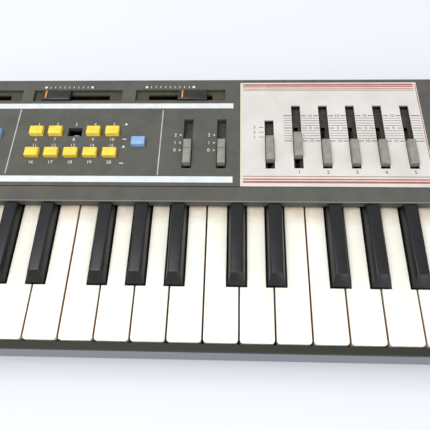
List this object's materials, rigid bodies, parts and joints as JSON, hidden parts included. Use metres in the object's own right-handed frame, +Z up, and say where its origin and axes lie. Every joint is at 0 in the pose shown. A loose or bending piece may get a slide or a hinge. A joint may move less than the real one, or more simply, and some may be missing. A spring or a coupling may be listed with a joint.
{
  "type": "portable keyboard",
  "caption": "Portable electronic keyboard with mini keys, a slide equalizer plate, tone buttons and slide controls on a sloped panel.",
  "frame": {"origin": "on the table under the middle of the case", "axes": "+X the player's right, +Y away from the player, +Z up"},
  "size_m": [0.595, 0.178, 0.0533],
  "materials": {
    "case": "fine moulded grain",
    "white_key": "polished",
    "black_key": "satin",
    "plate": "smooth",
    "grey_knob": "satin",
    "black_cap": "satin",
    "yellow_cap": "satin",
    "blue_cap": "satin",
    "board": "laminate with soldered parts",
    "chassis": "plated sheet"
  },
  "bodies": {
    "case": {"upper_case": "case", "lower_case": "case", "equalizer_panel": "plate", "battery_cover": "case", "key_chassis": "chassis", "contact_board": "board", "main_board": "board", "speaker": "black_cap", "jack_panel": "black_cap"},
    "equalizer_slider_1": {"equalizer_slider_1": "grey_knob"},
    "equalizer_slider_2": {"equalizer_slider_2": "grey_knob"},
    "equalizer_slider_3": {"equalizer_slider_3": "grey_knob"},
    "equalizer_slider_4": {"equalizer_slider_4": "grey_knob"},
    "equalizer_slider_5": {"equalizer_slider_5": "grey_knob"},
    "equalizer_selector": {"equalizer_selector": "grey_knob"},
    "vibrato_switch": {"vibrato_switch": "grey_knob"},
    "sustain_switch": {"sustain_switch": "grey_knob"},
    "melody_volume_slider": {"melody_volume_slider": "black_cap"},
    "tempo_slider": {"tempo_slider": "black_cap"},
    "accompaniment_volume_slider": {"accompaniment_volume_slider": "black_cap"},
    "tone_select_button": {"tone_select_button": "blue_cap"},
    "tone_button_a1": {"tone_button_a1": "yellow_cap"},
    "tone_button_a2": {"tone_button_a2": "yellow_cap"},
    "tone_button_a4": {"tone_button_a4": "yellow_cap"},
    "tone_button_a5": {"tone_button_a5": "yellow_cap"},
    "tone_button_b1": {"tone_button_b1": "yellow_cap"},
    "tone_button_b2": {"tone_button_b2": "yellow_cap"},
    "tone_button_b3": {"tone_button_b3": "yellow_cap"},
    "tone_button_b4": {"tone_button_b4": "yellow_cap"},
    "tone_button_b5": {"tone_button_b5": "yellow_cap"},
    "black_key_D2_sharp": {"black_key_D2_sharp": "black_key"},
    "white_key_E2": {"white_key_E2": "white_key"},
    "white_key_F2": {"white_key_F2": "white_key"},
    "black_key_F2_sharp": {"black_key_F2_sharp": "black_key"},
    "white_key_G2": {"white_key_G2": "white_key"},
    "black_key_G2_sharp": {"black_key_G2_sharp": "black_key"},
    "white_key_A2": {"white_key_A2": "white_key"},
    "black_key_A2_sharp": {"black_key_A2_sharp": "black_key"},
    "white_key_B2": {"white_key_B2": "white_key"},
    "white_key_C3": {"white_key_C3": "white_key"},
    "black_key_C3_sharp": {"black_key_C3_sharp": "black_key"},
    "white_key_D3": {"white_key_D3": "white_key"},
    "black_key_D3_sharp": {"black_key_D3_sharp": "black_key"},
    "white_key_E3": {"white_key_E3": "white_key"},
    "white_key_F3": {"white_key_F3": "white_key"},
    "black_key_F3_sharp": {"black_key_F3_sharp": "black_key"},
    "white_key_G3": {"white_key_G3": "white_key"},
    "black_key_G3_sharp": {"black_key_G3_sharp": "black_key"},
    "white_key_A3": {"white_key_A3": "white_key"},
    "black_key_A3_sharp": {"black_key_A3_sharp": "black_key"},
    "low_white_comb_a": {"low_white_comb_a": "white_key"},
    "low_white_comb_b": {"low_white_comb_b": "white_key"},
    "low_black_comb": {"low_black_comb": "black_key"},
    "high_white_comb_a": {"high_white_comb_a": "white_key"},
    "high_white_comb_b": {"high_white_comb_b": "white_key"},
    "high_black_comb": {"high_black_comb": "black_key"},
    "rhythm_select_button": {"rhythm_select_button": "blue_cap"},
    "rhythm_buttons_a": {"rhythm_buttons_a": "yellow_cap"},
    "rhythm_buttons_b": {"rhythm_buttons_b": "yellow_cap"},
    "power_switch": {"power_switch": "grey_knob"}
  },
  "joints": [
    {"name": "equalizer_slider_1_slide", "type": "slide", "parent": "case", "child": "equalizer_slider_1", "axis": [0, 0.9998, 0.0175], "range_m": [-0.0053, 0.0142]},
    {"name": "equalizer_slider_2_slide", "type": "slide", "parent": "case", "child": "equalizer_slider_2", "axis": [0, 0.9998, 0.0175], "range_m": [0, 0.0195]},
    {"name": "equalizer_slider_3_slide", "type": "slide", "parent": "case", "child": "equalizer_slider_3", "axis": [0, 0.9998, 0.0175], "range_m": [0, 0.0195]},
    {"name": "equalizer_slider_4_slide", "type": "slide", "parent": "case", "child": "equalizer_slider_4", "axis": [0, 0.9998, 0.0175], "range_m": [0, 0.0195]},
    {"name": "equalizer_slider_5_slide", "type": "slide", "parent": "case", "child": "equalizer_slider_5", "axis": [0, 0.9998, 0.0175], "range_m": [0, 0.0195]},
    {"name": "equalizer_selector_slide", "type": "slide", "parent": "case", "child": "equalizer_selector", "axis": [0, 0.9998, 0.0175], "range_m": [0, 0.0076]},
    {"name": "vibrato_switch_slide", "type": "slide", "parent": "case", "child": "vibrato_switch", "axis": [0, 0.9998, 0.0175], "range_m": [0, 0.0114]},
    {"name": "sustain_switch_slide", "type": "slide", "parent": "case", "child": "sustain_switch", "axis": [0, 0.9998, 0.0175], "range_m": [0, 0.0114]},
    {"name": "melody_volume_slider_slide", "type": "slide", "parent": "case", "child": "melody_volume_slider", "axis": [1, 0, 0], "range_m": [-0.0228, 0.0056]},
    {"name": "tempo_slider_slide", "type": "slide", "parent": "case", "child": "tempo_slider", "axis": [1, 0, 0], "range_m": [0, 0.0284]},
    {"name": "accompaniment_volume_slider_slide", "type": "slide", "parent": "case", "child": "accompaniment_volume_slider", "axis": [1, 0, 0], "range_m": [-0.007, 0.0214]},
    {"name": "tone_select_button_press", "type": "slide", "parent": "case", "child": "tone_select_button", "axis": [0, 0.0175, -0.9998], "range_m": [0, 0.0015], "stiffness_N_per_m": 80, "springref_m": -0.002},
    {"name": "tone_button_a1_press", "type": "slide", "parent": "case", "child": "tone_button_a1", "axis": [0, 0.0175, -0.9998], "range_m": [0, 0.0015], "stiffness_N_per_m": 80, "springref_m": -0.002},
    {"name": "tone_button_a2_press", "type": "slide", "parent": "case", "child": "tone_button_a2", "axis": [0, 0.0175, -0.9998], "range_m": [0, 0.0015], "stiffness_N_per_m": 80, "springref_m": -0.002},
    {"name": "tone_button_a4_press", "type": "slide", "parent": "case", "child": "tone_button_a4", "axis": [0, 0.0175, -0.9998], "range_m": [0, 0.0015], "stiffness_N_per_m": 80, "springref_m": -0.002},
    {"name": "tone_button_a5_press", "type": "slide", "parent": "case", "child": "tone_button_a5", "axis": [0, 0.0175, -0.9998], "range_m": [0, 0.0015], "stiffness_N_per_m": 80, "springref_m": -0.002},
    {"name": "tone_button_b1_press", "type": "slide", "parent": "case", "child": "tone_button_b1", "axis": [0, 0.0175, -0.9998], "range_m": [0, 0.0015], "stiffness_N_per_m": 80, "springref_m": -0.002},
    {"name": "tone_button_b2_press", "type": "slide", "parent": "case", "child": "tone_button_b2", "axis": [0, 0.0175, -0.9998], "range_m": [0, 0.0015], "stiffness_N_per_m": 80, "springref_m": -0.002},
    {"name": "tone_button_b3_press", "type": "slide", "parent": "case", "child": "tone_button_b3", "axis": [0, 0.0175, -0.9998], "range_m": [0, 0.0015], "stiffness_N_per_m": 80, "springref_m": -0.002},
    {"name": "tone_button_b4_press", "type": "slide", "parent": "case", "child": "tone_button_b4", "axis": [0, 0.0175, -0.9998], "range_m": [0, 0.0015], "stiffness_N_per_m": 80, "springref_m": -0.002},
    {"name": "tone_button_b5_press", "type": "slide", "parent": "case", "child": "tone_button_b5", "axis": [0, 0.0175, -0.9998], "range_m": [0, 0.0015], "stiffness_N_per_m": 80, "springref_m": -0.002},
    {"name": "black_key_D2_sharp_hinge", "type": "hinge", "parent": "case", "child": "black_key_D2_sharp", "pos_m": [-0.1031, 0.018, 0.036], "axis": [1, 0, 0], "range_deg": [0, 3.4], "stiffness_Nm_per_rad": 0.3, "springref_deg": -8.59},
    {"name": "white_key_E2_hinge", "type": "hinge", "parent": "case", "child": "white_key_E2", "pos_m": [-0.095, 0.018, 0.036], "axis": [1, 0, 0], "range_deg": [0, 3.4], "stiffness_Nm_per_rad": 0.35, "springref_deg": -8.59},
    {"name": "white_key_F2_hinge", "type": "hinge", "parent": "case", "child": "white_key_F2", "pos_m": [-0.076, 0.018, 0.036], "axis": [1, 0, 0], "range_deg": [0, 3.4], "stiffness_Nm_per_rad": 0.35, "springref_deg": -8.59},
    {"name": "black_key_F2_sharp_hinge", "type": "hinge", "parent": "case", "child": "black_key_F2_sharp", "pos_m": [-0.0687, 0.018, 0.036], "axis": [1, 0, 0], "range_deg": [0, 3.4], "stiffness_Nm_per_rad": 0.3, "springref_deg": -8.59},
    {"name": "white_key_G2_hinge", "type": "hinge", "parent": "case", "child": "white_key_G2", "pos_m": [-0.057, 0.018, 0.036], "axis": [1, 0, 0], "range_deg": [0, 3.4], "stiffness_Nm_per_rad": 0.35, "springref_deg": -8.59},
    {"name": "black_key_G2_sharp_hinge", "type": "hinge", "parent": "case", "child": "black_key_G2_sharp", "pos_m": [-0.0474, 0.018, 0.036], "axis": [1, 0, 0], "range_deg": [0, 3.4], "stiffness_Nm_per_rad": 0.3, "springref_deg": -8.59},
    {"name": "white_key_A2_hinge", "type": "hinge", "parent": "case", "child": "white_key_A2", "pos_m": [-0.038, 0.018, 0.036], "axis": [1, 0, 0], "range_deg": [0, 3.4], "stiffness_Nm_per_rad": 0.35, "springref_deg": -8.59},
    {"name": "black_key_A2_sharp_hinge", "type": "hinge", "parent": "case", "child": "black_key_A2_sharp", "pos_m": [-0.026, 0.018, 0.036], "axis": [1, 0, 0], "range_deg": [0, 3.4], "stiffness_Nm_per_rad": 0.3, "springref_deg": -8.59},
    {"name": "white_key_B2_hinge", "type": "hinge", "parent": "case", "child": "white_key_B2", "pos_m": [-0.019, 0.018, 0.036], "axis": [1, 0, 0], "range_deg": [0, 3.4], "stiffness_Nm_per_rad": 0.35, "springref_deg": -8.59},
    {"name": "white_key_C3_hinge", "type": "hinge", "parent": "case", "child": "white_key_C3", "pos_m": [0, 0.018, 0.036], "axis": [1, 0, 0], "range_deg": [0, 3.4], "stiffness_Nm_per_rad": 0.35, "springref_deg": -8.59},
    {"name": "black_key_C3_sharp_hinge", "type": "hinge", "parent": "case", "child": "black_key_C3_sharp", "pos_m": [0.0081, 0.018, 0.036], "axis": [1, 0, 0], "range_deg": [0, 3.4], "stiffness_Nm_per_rad": 0.3, "springref_deg": -8.59},
    {"name": "white_key_D3_hinge", "type": "hinge", "parent": "case", "child": "white_key_D3", "pos_m": [0.019, 0.018, 0.036], "axis": [1, 0, 0], "range_deg": [0, 3.4], "stiffness_Nm_per_rad": 0.35, "springref_deg": -8.59},
    {"name": "black_key_D3_sharp_hinge", "type": "hinge", "parent": "case", "child": "black_key_D3_sharp", "pos_m": [0.0299, 0.018, 0.036], "axis": [1, 0, 0], "range_deg": [0, 3.4], "stiffness_Nm_per_rad": 0.3, "springref_deg": -8.59},
    {"name": "white_key_E3_hinge", "type": "hinge", "parent": "case", "child": "white_key_E3", "pos_m": [0.038, 0.018, 0.036], "axis": [1, 0, 0], "range_deg": [0, 3.4], "stiffness_Nm_per_rad": 0.35, "springref_deg": -8.59},
    {"name": "white_key_F3_hinge", "type": "hinge", "parent": "case", "child": "white_key_F3", "pos_m": [0.057, 0.018, 0.036], "axis": [1, 0, 0], "range_deg": [0, 3.4], "stiffness_Nm_per_rad": 0.35, "springref_deg": -8.59},
    {"name": "black_key_F3_sharp_hinge", "type": "hinge", "parent": "case", "child": "black_key_F3_sharp", "pos_m": [0.0643, 0.018, 0.036], "axis": [1, 0, 0], "range_deg": [0, 3.4], "stiffness_Nm_per_rad": 0.3, "springref_deg": -8.59},
    {"name": "white_key_G3_hinge", "type": "hinge", "parent": "case", "child": "white_key_G3", "pos_m": [0.076, 0.018, 0.036], "axis": [1, 0, 0], "range_deg": [0, 3.4], "stiffness_Nm_per_rad": 0.35, "springref_deg": -8.59},
    {"name": "black_key_G3_sharp_hinge", "type": "hinge", "parent": "case", "child": "black_key_G3_sharp", "pos_m": [0.0856, 0.018, 0.036], "axis": [1, 0, 0], "range_deg": [0, 3.4], "stiffness_Nm_per_rad": 0.3, "springref_deg": -8.59},
    {"name": "white_key_A3_hinge", "type": "hinge", "parent": "case", "child": "white_key_A3", "pos_m": [0.095, 0.018, 0.036], "axis": [1, 0, 0], "range_deg": [0, 3.4], "stiffness_Nm_per_rad": 0.35, "springref_deg": -8.59},
    {"name": "black_key_A3_sharp_hinge", "type": "hinge", "parent": "case", "child": "black_key_A3_sharp", "pos_m": [0.107, 0.018, 0.036], "axis": [1, 0, 0], "range_deg": [0, 3.4], "stiffness_Nm_per_rad": 0.3, "springref_deg": -8.59},
    {"name": "low_white_comb_a_hinge", "type": "hinge", "parent": "case", "child": "low_white_comb_a", "pos_m": [-0.19, 0.018, 0.036], "axis": [1, 0, 0], "range_deg": [0, 3.4], "stiffness_Nm_per_rad": 1.5, "springref_deg": -8.59},
    {"name": "low_white_comb_b_hinge", "type": "hinge", "parent": "case", "child": "low_white_comb_b", "pos_m": [-0.19, 0.018, 0.036], "axis": [1, 0, 0], "range_deg": [0, 3.4], "stiffness_Nm_per_rad": 1.5, "springref_deg": -8.59},
    {"name": "low_black_comb_hinge", "type": "hinge", "parent": "case", "child": "low_black_comb", "pos_m": [-0.19, 0.018, 0.036], "axis": [1, 0, 0], "range_deg": [0, 3.4], "stiffness_Nm_per_rad": 1.5, "springref_deg": -8.59},
    {"name": "high_white_comb_a_hinge", "type": "hinge", "parent": "case", "child": "high_white_comb_a", "pos_m": [0.19, 0.018, 0.036], "axis": [1, 0, 0], "range_deg": [0, 3.4], "stiffness_Nm_per_rad": 1.5, "springref_deg": -8.59},
    {"name": "high_white_comb_b_hinge", "type": "hinge", "parent": "case", "child": "high_white_comb_b", "pos_m": [0.19, 0.018, 0.036], "axis": [1, 0, 0], "range_deg": [0, 3.4], "stiffness_Nm_per_rad": 1.5, "springref_deg": -8.59},
    {"name": "high_black_comb_hinge", "type": "hinge", "parent": "case", "child": "high_black_comb", "pos_m": [0.19, 0.018, 0.036], "axis": [1, 0, 0], "range_deg": [0, 3.4], "stiffness_Nm_per_rad": 1.5, "springref_deg": -8.59},
    {"name": "rhythm_select_button_press", "type": "slide", "parent": "case", "child": "rhythm_select_button", "axis": [0, 0.0175, -0.9998], "range_m": [0, 0.0015], "stiffness_N_per_m": 80, "springref_m": -0.002},
    {"name": "rhythm_buttons_a_press", "type": "slide", "parent": "case", "child": "rhythm_buttons_a", "axis": [0, 0.0175, -0.9998], "range_m": [0, 0.0015], "stiffness_N_per_m": 240, "springref_m": -0.002},
    {"name": "rhythm_buttons_b_press", "type": "slide", "parent": "case", "child": "rhythm_buttons_b", "axis": [0, 0.0175, -0.9998], "range_m": [0, 0.0015], "stiffness_N_per_m": 240, "springref_m": -0.002},
    {"name": "power_switch_slide", "type": "slide", "parent": "case", "child": "power_switch", "axis": [0, 0.9998, 0.0175], "range_m": [0, 0.01]}
  ]
}
